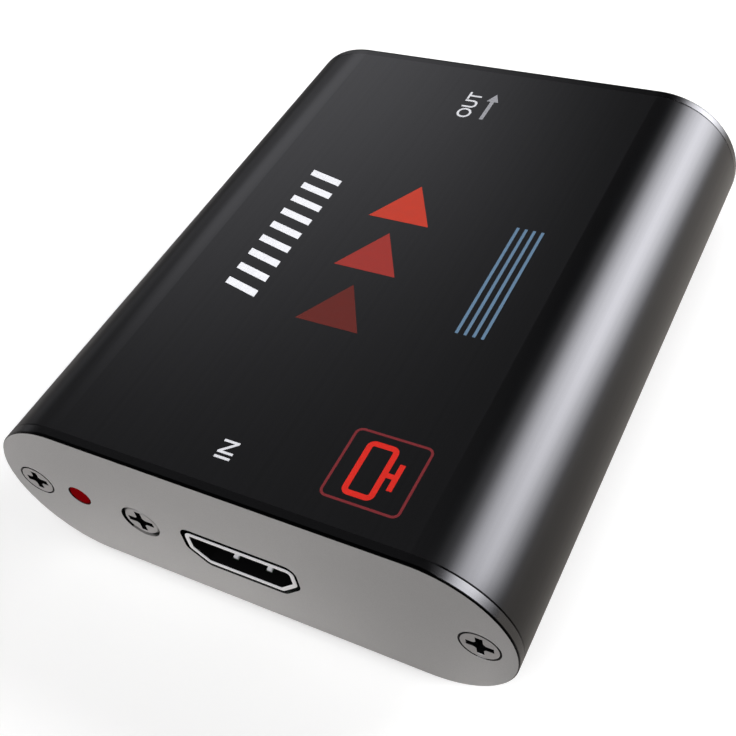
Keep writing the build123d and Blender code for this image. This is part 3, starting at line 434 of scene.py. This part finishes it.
def screw_finish(name, node, reach):
    """Steel, with black painted as shade in the hollow of the cross within reach of the axis. Front and rear
    screws are alike.
    """
    finish = Finish(name)
    low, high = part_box(node)
    radius = (high.z - low.z) / 2
    axis_x = (max(abs(low.x), abs(high.x)) - radius) / MM
    axis_z = (high.z + low.z) / 2 / MM
    face = max(abs(low.y), abs(high.y)) / MM
    across = finish.math("SUBTRACT", finish.math("ABSOLUTE", finish.coordinate(X)), axis_x)
    upward = finish.math("SUBTRACT", finish.coordinate(Z), axis_z)
    squares = finish.squares(across, upward)
    depth = finish.math("SUBTRACT", face, finish.math("ABSOLUTE", finish.coordinate(Y)))
    inside = finish.math("LESS_THAN", squares, reach ** 2)
    # Painted shade: the hollow of the cross is black and not metal
    recess_shade = finish.math("MULTIPLY", inside, finish.within(depth, *RECESS_DEPTH))
    grain = finish.noise(STEEL_GRAIN, detail=FINE)
    steel = finish.shaded(grain, STEEL, STEEL_SPREAD)
    finish.set(Base_Color=finish.blend(recess_shade, steel, SHADE_BLACK), Specular_IOR_Level=0.0)
    finish.set(Metallic=finish.inverse(recess_shade), Roughness=STEEL_ROUGHNESS)
    finish.bump(grain, STEEL_GRAIN_DEPTH)
    thread = finish.math("SINE", finish.math("MULTIPLY", depth, 2 * math.pi / THREAD_PITCH))
    shank = finish.math("LESS_THAN", squares, THREAD_RADIUS ** 2)
    finish.bump(finish.math("MULTIPLY", thread, shank), THREAD_DEPTH)
    return finish


def screw_steel():
    return screw_finish("plate_screw_steel", "front_plate_screws", PLATE_SCREW_RECESS)


def lock_steel():
    return screw_finish("lock_screw_steel", "lock_screw", LOCK_SCREW_RECESS)


def hdmi_metal():
    """Bright nickel on the lip and the spring fingers, and the rest of the inside painted black as shade."""
    finish = Finish("socket_nickel")
    depth = finish.math("SUBTRACT", finish.coordinate(Y), FRONT_Y / MM)
    lip = finish.math("LESS_THAN", depth, LIP_REACH)
    lip = finish.math("MULTIPLY", lip, finish.math("GREATER_THAN", finish.facing(Y), LIP_FACING))
    finger = finish.within(finish.math("ABSOLUTE", finish.coordinate(X)), *FINGER_ACROSS)
    finger = finish.math("MULTIPLY", finger, finish.within(depth, *FINGER_REACH))
    bright = finish.math("MAXIMUM", lip, finger)
    grain = finish.noise(LIP_GRAIN)
    nickel = finish.blend(finish.span(grain, *NOISE_SPAN), LIP_NICKEL_DULL, LIP_NICKEL)
    metal = finish.span(finger, 0.0, 1.0, LIP_METAL, FINGER_METAL)
    # Everything but the lip and the fingers is painted black as shade
    finish.set(Base_Color=finish.blend(bright, SHADE_BLACK, nickel), Specular_IOR_Level=0.0)
    finish.set(Metallic=finish.math("MULTIPLY", bright, metal), Roughness=LIP_ROUGHNESS)
    finish.bump(grain, LIP_GRAIN_DEPTH)
    return finish


def board_laminate():
    """Green solder mask over a field of copper areas."""
    finish = Finish("solder_mask")
    cells = finish.add("ShaderNodeTexBrick", offset=BOARD_CELL_SHIFT)
    cells.inputs["Scale"].default_value = 1 / (BOARD_CELL * MM)
    cells.inputs["Mortar Size"].default_value = BOARD_LINE_SHARE
    finish.feed(cells.inputs["Vector"], finish.place)
    for i, green in enumerate(BOARD_GREENS, 1):
        cells.inputs[f"Color{i}"].default_value = green
    cells.inputs["Mortar"].default_value = BOARD_DARK_GREEN
    finish.set(Base_Color=cells.outputs["Color"], Roughness=BOARD_ROUGHNESS)
    finish.bump(cells.outputs["Fac"], BOARD_RELIEF)
    return finish


def brass_block():
    return varied("brass", (0.62, 0.43, 0.17), metallic=1.0, roughness=0.3, size=0.15)


def shell_nickel():
    """Bright nickel on drawn sheet."""
    return varied(
        "bright_nickel", (0.83, 0.82, 0.80), metallic=1.0, roughness=0.22, size=0.2, spread=0.05, depth=0.001
    )


def contact_gold():
    return varied("gold_plating", (0.83, 0.58, 0.24), metallic=1.0, roughness=0.24, size=0.1, depth=0.001)


def lead_tin():
    return varied("tinned_leads", (0.70, 0.70, 0.71), metallic=1.0, roughness=0.32, size=0.1, depth=0.003)


def led_red():
    """Tinted clear plastic, unlit."""
    return varied(
        "red_lens", (0.23, 0.001, 0.003), roughness=0.4, size=0.3, spread=0.1, depth=0.002, specular=0.0
    )


def black_plastic():
    return varied("black_plastic", (0.012, 0.012, 0.013), roughness=0.45, size=0.12)


def blue_plastic():
    return varied("blue_plastic", (0.012, 0.07, 0.42), roughness=0.38, size=0.12)


def chip_epoxy():
    return varied("chip_epoxy", (0.016, 0.016, 0.017), roughness=0.55, size=0.12, depth=0.006)


def pad_grey():
    return varied("thermal_pad", (0.22, 0.23, 0.25), roughness=0.7, size=0.3, depth=0.02)


def sink_black():
    return varied("black_anodised", (0.02, 0.02, 0.021), metallic=0.7, roughness=0.42, size=0.12)


def can_metal():
    return varied("drawn_can", (0.66, 0.66, 0.67), metallic=1.0, roughness=0.3, size=0.1)


def ferrite_grey():
    return varied("ferrite", (0.045, 0.045, 0.047), roughness=0.6, size=0.15, depth=0.01)


def ceramic_tan():
    return varied("ceramic", (0.30, 0.22, 0.14), roughness=0.5, size=0.1)


def foot_rubber():
    """Matt rubber with a fine moulded grain."""
    return varied("foot_rubber", (0.018, 0.018, 0.018), roughness=0.75, size=0.25, spread=0.2, depth=0.02)


# Finishes by material slot, and those of single CAD nodes that leave their slot's finish
SLOT_FINISHES = {
    "case_metal": case_metal,
    "plate_metal": plate_metal,
    "screw_steel": screw_steel,
    "brass_block": brass_block,
    "shell_nickel": shell_nickel,
    "contact_gold": contact_gold,
    "lead_tin": lead_tin,
    "led_red": led_red,
    "black_plastic": black_plastic,
    "blue_plastic": blue_plastic,
    "board_laminate": board_laminate,
    "chip_epoxy": chip_epoxy,
    "pad_grey": pad_grey,
    "sink_black": sink_black,
    "can_metal": can_metal,
    "ferrite_grey": ferrite_grey,
    "ceramic_tan": ceramic_tan,
    "foot_rubber": foot_rubber,
}
NODE_FINISHES = {"lock_screw": lock_steel, "hdmi_shell": hdmi_metal}


def paint(piece, finish):
    piece.data.materials.clear()
    piece.data.materials.append(finish.material)


def dress_nodes():
    """Every CAD node takes its own finish, or else the finish of its material slot."""
    made = {slot: make() for slot, make in SLOT_FINISHES.items()}
    for entry in frame["record"]["subparts"]:
        node = entry["node"]
        own = NODE_FINISHES.get(node)
        paint(frame["nodes"][node], own() if own else made[entry["material_slot"]])


# Prints

def on_top(x, y):
    """A point of the top in metres, from millimetres right of the middle and behind the front face."""
    return Vector((x * MM, FRONT_Y + y * MM, TOP_Z))


def add_print(name, data, finish):
    piece = bpy.data.objects.new(name, data)
    bpy.context.scene.collection.objects.link(piece)
    paint(piece, finish)
    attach(piece, "housing")


def thicken(mesh):
    """Raises the flat faces of a print by its thickness, with walls round their edges."""
    raised = {}
    for corner in list(mesh.verts):
        raised[corner] = mesh.verts.new(corner.co + Vector((0, 0, PRINT_THICKNESS * MM)))
    for face in list(mesh.faces):
        mesh.faces.new([raised[corner] for corner in face.verts])
        for loop in list(face.loops):
            if loop.edge.is_boundary:
                start = loop.vert
                end = loop.link_loop_next.vert
                mesh.faces.new((start, end, raised[end], raised[start]))
        face.normal_flip()


def print_mesh(name, outlines, finish):
    """Closed outlines on the top, all anticlockwise, as one printed layer. A pair of outlines is a ring."""
    mesh = bmesh.new()
    for outline in outlines:
        if isinstance(outline[0][0], (tuple, list)):
            outer, inner = [[mesh.verts.new(on_top(x, y)) for x, y in rim] for rim in outline]
            for i in range(len(outer)):
                j = (i + 1) % len(outer)
                mesh.faces.new((outer[i], outer[j], inner[j], inner[i]))
        else:
            mesh.faces.new([mesh.verts.new(on_top(x, y)) for x, y in outline])
    thicken(mesh)
    data = bpy.data.meshes.new(name)
    mesh.to_mesh(data)
    mesh.free()
    add_print(name, data, finish)


def rounded_square(x_span, y_span, radius, inset=0.0, steps=6):
    """A closed outline of a square with round corners, drawn in by inset."""
    points = []
    centres = (
        (x_span[1] - radius, y_span[1] - radius, 0),
        (x_span[0] + radius, y_span[1] - radius, 90),
        (x_span[0] + radius, y_span[0] + radius, 180),
        (x_span[1] - radius, y_span[0] + radius, 270),
    )
    reach = radius - inset
    for x, y, start in centres:
        for i in range(steps + 1):
            angle = math.radians(start + 90 * i / steps)
            points.append((x + reach * math.cos(angle), y + reach * math.sin(angle)))
    return points


def ring(x_span, y_span, radius, line):
    return (rounded_square(x_span, y_span, radius), rounded_square(x_span, y_span, radius, line))


def rectangle(x_span, y_span):
    left, right = x_span
    low, high = y_span
    return [(left, low), (right, low), (right, high), (left, high)]


def word(name, text, y, finish):
    """A short generic word that reads towards the rear, its tops towards -X."""
    curve = bpy.data.curves.new(name + "_outline", "FONT")
    curve.body = text
    curve.size = LABEL_HEIGHT * MM / CAPITALS_SHARE
    curve.offset = LABEL_WEIGHT * MM
    curve.extrude = PRINT_THICKNESS * MM / 2
    holder = bpy.data.objects.new(name + "_outline", curve)
    bpy.context.scene.collection.objects.link(holder)
    bpy.context.view_layer.update()
    data = bpy.data.meshes.new_from_object(holder)
    bpy.data.objects.remove(holder)
    data.name = name
    place = Matrix.Translation(on_top(LABEL_X, y) + Vector((0, 0, PRINT_THICKNESS * MM / 2)))
    data.transform(place @ Matrix.Rotation(math.radians(90), 4, "Z"))
    add_print(name, data, finish)


def arrows():
    for number, (base, colour) in enumerate(zip(ARROW_BASES, ARROW_INKS), 1):
        corners = [
            (ARROW_X - ARROW_SIDE / 2, base),
            (ARROW_X + ARROW_SIDE / 2, base),
            (ARROW_X, base + ARROW_HEIGHT),
        ]
        print_mesh(f"print_arrow_{number}", [corners], ink(f"ink_red_{number}", colour))


def slanted_bars():
    pitch = (BAND_Y[1] - BAND_Y[0] - BAND_BAR_WIDTH - BAND_SLANT) / (BAND_BARS - 1)
    bars = []
    for i in range(BAND_BARS):
        low = BAND_Y[0] + i * pitch
        bars.append([
            (BAND_X[1], low),
            (BAND_X[1], low + BAND_BAR_WIDTH),
            (BAND_X[0], low + BAND_BAR_WIDTH + BAND_SLANT),
            (BAND_X[0], low + BAND_SLANT),
        ])
    return bars


def stripes():
    step = (STRIPE_X[1] - STRIPE_X[0] - STRIPE_WIDTH) / (STRIPE_COUNT - 1)
    lows = [STRIPE_X[0] + i * step for i in range(STRIPE_COUNT)]
    return [rectangle((low, low + STRIPE_WIDTH), STRIPE_Y) for low in lows]


def out_sign():
    """A small arrow: its shaft and its head."""
    middle = sum(SIGN_X) / 2
    shaft = rectangle((middle - SIGN_LINE / 2, middle + SIGN_LINE / 2), SIGN_Y[:2])
    return [shaft, [(SIGN_X[0], SIGN_Y[1]), (SIGN_X[1], SIGN_Y[1]), (middle, SIGN_Y[2])]]


def screen_icon():
    """A screen's outline with its neck and stand."""
    screen = ring(SCREEN_X, SCREEN_Y, SCREEN_CORNER, SCREEN_LINE)
    return [screen, rectangle(STAND_X, STAND_Y), rectangle(NECK_X, NECK_Y)]


def top_prints():
    arrows()
    print_mesh("print_white_bars", slanted_bars(), ink("ink_white", WHITE_INK))
    pale = ink("ink_pale_grey", PALE_INK)
    word("print_in_label", "IN", IN_LABEL_Y, pale)
    word("print_out_label", "OUT", OUT_LABEL_Y, pale)
    print_mesh("print_out_sign", out_sign(), ink("ink_grey", GREY_INK))
    print_mesh("print_blue_stripes", stripes(), ink("ink_blue_grey", BLUE_INK))
    icon_frame = ring(ICON_X, ICON_Y, ICON_CORNER, ICON_LINE)
    print_mesh("print_icon_frame", [icon_frame], ink("ink_red_frame", FRAME_INK))
    print_mesh("print_screen_icon", screen_icon(), ink("ink_red_icon", ICON_INK))


# Floor

# Half its side, in metres
FLOOR_HALF_SIDE = 3.0
FLOOR_CELLS = 8
FLOOR_PALE = (0.83, 0.82, 0.78, 1.0)
FLOOR_GLOW = 0.34
# Tints of the floor's painted reflection, warmer where the right side mirrors it
FLOOR_WARM = (1.0, 0.955, 0.90, 1.0)
FLOOR_SIDE = (1.0, 0.935, 0.83, 1.0)

# The mirrored floor's brightness as spans of metres, most of them with the tones at their ends. It is
# painted reflection: it sets how bright the metal looks where it mirrors the floor, and evens out the lamps'
# light and the object's shadow there
FRONT_ACROSS = (-0.004, 0.045, 1.0, 0.36)
FRONT_ALONG = (-0.064, -0.046, 0.6, 1.0)
FRONT_SHARE = (-0.048, -0.04)
LEFT_ACROSS = (-0.13, -0.05)
LEFT_ALONG = (0.02, 0.1, 0.2, 0.03)
LEFT_NEAR = 0.26
RIGHT_ALONG = (-0.04, 0.07, 0.37, 0.52)
RIGHT_SHARE = (0.0, 0.03)


def new_piece(name, mesh, material_name):
    """An object of that mesh with an empty material, and the material's nodes."""
    data = bpy.data.meshes.new(name)
    mesh.to_mesh(data)
    mesh.free()
    piece = bpy.data.objects.new(name, data)
    bpy.context.scene.collection.objects.link(piece)
    material = bpy.data.materials.new(material_name)
    material.use_nodes = True
    material.node_tree.nodes.clear()
    data.materials.append(material)
    return piece, Nodes(material.node_tree)


def floor():
    mesh = bmesh.new()
    bmesh.ops.create_grid(mesh, x_segments=FLOOR_CELLS, y_segments=FLOOR_CELLS, size=FLOOR_HALF_SIDE)
    piece, nodes = new_piece("floor", mesh, "floor_white")
    pale = nodes.add("ShaderNodeBsdfDiffuse")
    pale.inputs["Color"].default_value = FLOOR_PALE
    glow = nodes.add("ShaderNodeEmission")
    glow.inputs["Strength"].default_value = FLOOR_GLOW
    seen = nodes.add("ShaderNodeAddShader")
    nodes.feed(seen.inputs[0], pale.outputs[0])
    nodes.feed(seen.inputs[1], glow.outputs[0])
    mirrored = nodes.add("ShaderNodeBsdfDiffuse")
    nodes.feed(mirrored.inputs["Color"], painted_reflection_tone(nodes))
    camera_ray = nodes.add("ShaderNodeLightPath").outputs["Is Camera Ray"]
    output = nodes.add("ShaderNodeOutputMaterial")
    nodes.feed(output.inputs["Surface"], nodes.choose(camera_ray, mirrored.outputs[0], seen.outputs[0]))


def painted_reflection_tone(nodes):
    """The floor's colour as the object mirrors it, a painted reflection: bright in front, darker to the left
    and right.
    """
    x = nodes.position(X)
    y = nodes.position(Y)
    ahead = nodes.math("MULTIPLY", nodes.span(x, *FRONT_ACROSS), nodes.span(y, *FRONT_ALONG))
    behind = nodes.span(y, *FRONT_SHARE, smooth=True)
    left = nodes.span(x, *LEFT_ACROSS, nodes.span(y, *LEFT_ALONG), LEFT_NEAR, smooth=True)
    right = nodes.span(y, *RIGHT_ALONG)
    on_right = nodes.span(x, *RIGHT_SHARE, smooth=True)
    left = nodes.math("MULTIPLY", left, nodes.inverse(on_right))
    rear = nodes.math("ADD", left, nodes.math("MULTIPLY", right, on_right))
    ahead = nodes.math("MULTIPLY", ahead, nodes.inverse(behind))
    tone = nodes.math("ADD", ahead, nodes.math("MULTIPLY", rear, behind))
    warmth = nodes.blend(nodes.math("MULTIPLY", on_right, behind), FLOOR_WARM, FLOOR_SIDE)
    return nodes.blend(tone, SHADE_BLACK, warmth)


# World

BACKGROUND = 0.085
WORLD_COOL = (0.975, 0.98, 1.03, 1.0)
WORLD_WHITE = (1.0, 1.0, 1.0, 1.0)

# Soft boxes: azimuth from +Y towards +X, elevation, half width and half height, soft edge, and radiance.
# The last one is a black flag that takes the background away
SOFT_BOXES = (
    (-39.5, 28.0, 15.5, 9.5, 14.0, 1.0),
    (-57.0, 3.0, 16.0, 7.0, 8.0, 0.2),
    (180.0, 62.0, 62.0, 26.0, 14.0, 2.6),
    (-5.0, 47.0, 20.0, 12.0, 18.0, -0.07),
)


def studio():
    """A world of soft boxes, white where the camera sees it."""
    world = bpy.data.worlds.new("studio")
    bpy.context.scene.world = world
    world.use_nodes = True
    world.node_tree.nodes.clear()
    nodes = Nodes(world.node_tree)

    direction = nodes.add("ShaderNodeTexCoord").outputs["Generated"]
    x, y, z = [nodes.split(direction, axis) for axis in (X, Y, Z)]
    azimuth = nodes.math("MULTIPLY", nodes.math("ARCTAN2", x, y), DEGREES)
    elevation = nodes.math("MULTIPLY", nodes.math("ARCSINE", z), DEGREES)
    total = BACKGROUND
    for centre, height, half_width, half_height, soft, radiance in SOFT_BOXES:
        turned = nodes.math("WRAP", nodes.math("SUBTRACT", azimuth, centre), 180.0, -180.0)
        raised = nodes.math("SUBTRACT", elevation, height)
        light = radiance
        for distance, half in ((turned, half_width), (raised, half_height)):
            distance = nodes.math("ABSOLUTE", distance)
            share = nodes.span(distance, half - soft / 2, half + soft / 2, 1.0, 0.0, smooth=True)
            light = nodes.math("MULTIPLY", share, light)
        total = nodes.math("ADD", light, total)

    lit = nodes.add("ShaderNodeBackground")
    lit.inputs["Color"].default_value = WORLD_COOL
    nodes.feed(lit.inputs["Strength"], total)
    seen = nodes.add("ShaderNodeBackground")
    seen.inputs["Color"].default_value = WORLD_WHITE
    camera_ray = nodes.add("ShaderNodeLightPath").outputs["Is Camera Ray"]
    output = nodes.add("ShaderNodeOutputWorld")
    nodes.feed(output.inputs["Surface"], nodes.choose(camera_ray, lit.outputs[0], seen.outputs[0]))


# Key light, which only matt surfaces see

KEY_AZIMUTH = 40.3
KEY_ELEVATION = 23.8
KEY_SIZE = 38.0
KEY_STRENGTH = 3.57


def key_light():
    azimuth = math.radians(KEY_AZIMUTH)
    elevation = math.radians(KEY_ELEVATION)
    ahead = math.cos(elevation)
    towards = Vector((math.sin(azimuth) * ahead, math.cos(azimuth) * ahead, math.sin(elevation)))
    data = bpy.data.lights.new("key", "SUN")
    data.energy = KEY_STRENGTH
    data.color = WORLD_COOL[:3]
    data.angle = math.radians(KEY_SIZE)
    key = bpy.data.objects.new("key", data)
    bpy.context.scene.collection.objects.link(key)
    key.matrix_world = towards.to_track_quat("Z", "Y").to_matrix().to_4x4()
    key.visible_camera = False
    key.visible_glossy = False
    key.visible_transmission = False


# Cards near the object that only glossy surfaces see

# The strip light and the flag are upright along y, each with its x and its corners as y and z. The flag
# above the edge of the top keeps the strip light off it, and the rear card keeps it off the rear plate
STRIP_X = 41.0
STRIP_CARD = ((-60.0, 21.5), (-60.0, 62.0), (115.0, 62.0), (115.0, 18.6))
FLAG_X = 28.4
FLAG_CARD = ((-60.0, 27.0), (-60.0, 60.0), (170.0, 60.0), (170.0, 27.0))
REAR_LOW, REAR_HIGH = [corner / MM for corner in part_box("rear_plate")]
REAR_CARD_GAP = 0.4
REAR_CARD_INSET = 0.25

# The strip light's front end and fades as spans of y, and its low and high edges as spans of y with the
# heights at their ends. It rises to its full radiance above the low edge, and falls to the high one
STRIP_FRONT = (-46.0, -36.0)
STRIP_FADES = ((-40.0, 2.0, 0.73, 1.0), (20.0, 72.0, 1.0, 0.84))
STRIP_LOW = (-38.0, 50.0, 21.2, 19.2)
STRIP_HIGH = (-30.0, 72.0, 55.5, 61.5)
STRIP_RISE = 8.8
STRIP_FULL = 28.0
STRIP_FALL_POWER = 1.09
STRIP_RADIANCE = 10.2

# The rear card's radiance at the rear plate's low and high edges, and its share at the left and right ends
REAR_RISE = (0.42, 0.60)
REAR_ACROSS = (0.84, 1.0)


def add_card(name, corners):
    """A glowing card. Returns its nodes and the socket of the glow's strength."""
    mesh = bmesh.new()
    mesh.faces.new([mesh.verts.new(Vector(corner) * MM) for corner in corners])
    piece, nodes = new_piece(name, mesh, name + "_glow")
    piece.data.materials[0].cycles.emission_sampling = "NONE"
    glow = nodes.add("ShaderNodeEmission")
    glow.inputs["Color"].default_value = WORLD_COOL
    output = nodes.add("ShaderNodeOutputMaterial")
    nodes.feed(output.inputs["Surface"], glow.outputs[0])
    piece.visible_camera = False
    piece.visible_diffuse = False
    piece.visible_transmission = False
    piece.visible_shadow = False
    return nodes, glow.inputs["Strength"]


def side_corners(x, corners):
    return [(x, y, z) for y, z in corners]


def strip_light():
    """The long highlight on the right side, which fades towards its ends and upwards."""
    nodes, strength = add_card("strip_light", side_corners(STRIP_X, STRIP_CARD))
    y = nodes.coordinate(Y)
    z = nodes.coordinate(Z)
    light = nodes.span(y, *STRIP_FRONT, smooth=True)
    for fade in STRIP_FADES:
        light = nodes.math("MULTIPLY", light, nodes.span(y, *fade))
    rise = nodes.span(nodes.math("SUBTRACT", z, nodes.span(y, *STRIP_LOW)), 0.0, STRIP_RISE)
    fall = nodes.span(z, STRIP_FULL, nodes.span(y, *STRIP_HIGH), 1.0, 0.0)
    fall = nodes.math("POWER", fall, STRIP_FALL_POWER)
    light = nodes.math("MULTIPLY", light, nodes.math("MULTIPLY", rise, fall))
    light = nodes.math("MULTIPLY", light, STRIP_RADIANCE)
    nodes.feed(strength, nodes.math("ADD", light, BACKGROUND))


def flag():
    nodes, strength = add_card("flag", side_corners(FLAG_X, FLAG_CARD))
    nodes.feed(strength, BACKGROUND)


def rear_card():
    """A glowing card a little smaller than the rear plate and a little behind it, which the plate mirrors as
    a painted reflection, brighter upwards and to the right.
    """
    inset = Vector((REAR_CARD_INSET, 0, REAR_CARD_INSET))
    low = REAR_LOW + inset
    high = REAR_HIGH - inset
    outline = rounded_square((low.x, high.x), (low.z, high.z), (high.z - low.z) / 2)
    nodes, strength = add_card("rear_card", [(x, high.y + REAR_CARD_GAP, z) for x, z in outline])
    across = nodes.span(nodes.coordinate(X), REAR_LOW.x, REAR_HIGH.x, *REAR_ACROSS)
    rise = nodes.span(nodes.coordinate(Z), REAR_LOW.z, REAR_HIGH.z, *REAR_RISE)
    nodes.feed(strength, nodes.math("MULTIPLY", across, rise))


# Camera

def camera():
    place = Vector(CAMERA_PLACE) * MM
    back = (place - Vector(CAMERA_AIM) * MM).normalized()
    level = Vector((0, 0, 1)).cross(back).normalized()
    upright = back.cross(level)
    roll = math.radians(CAMERA_ROLL)
    right = math.cos(roll) * level + math.sin(roll) * upright
    up = back.cross(right)
    data = bpy.data.cameras.new("camera")
    data.sensor_width = CAMERA_SENSOR
    data.sensor_fit = "HORIZONTAL"
    data.lens = CAMERA_LENS
    data.clip_start = CAMERA_NEAR * MM
    viewer = bpy.data.objects.new("camera", data)
    bpy.context.scene.collection.objects.link(viewer)
    turn = Matrix((right, up, back)).transposed()
    viewer.matrix_world = Matrix.Translation(place) @ turn.to_4x4()
    bpy.context.scene.camera = viewer


dress_nodes()
top_prints()
floor()
studio()
key_light()
strip_light()
flag()
rear_card()
camera()
bpy.context.scene.view_settings.view_transform = "Standard"
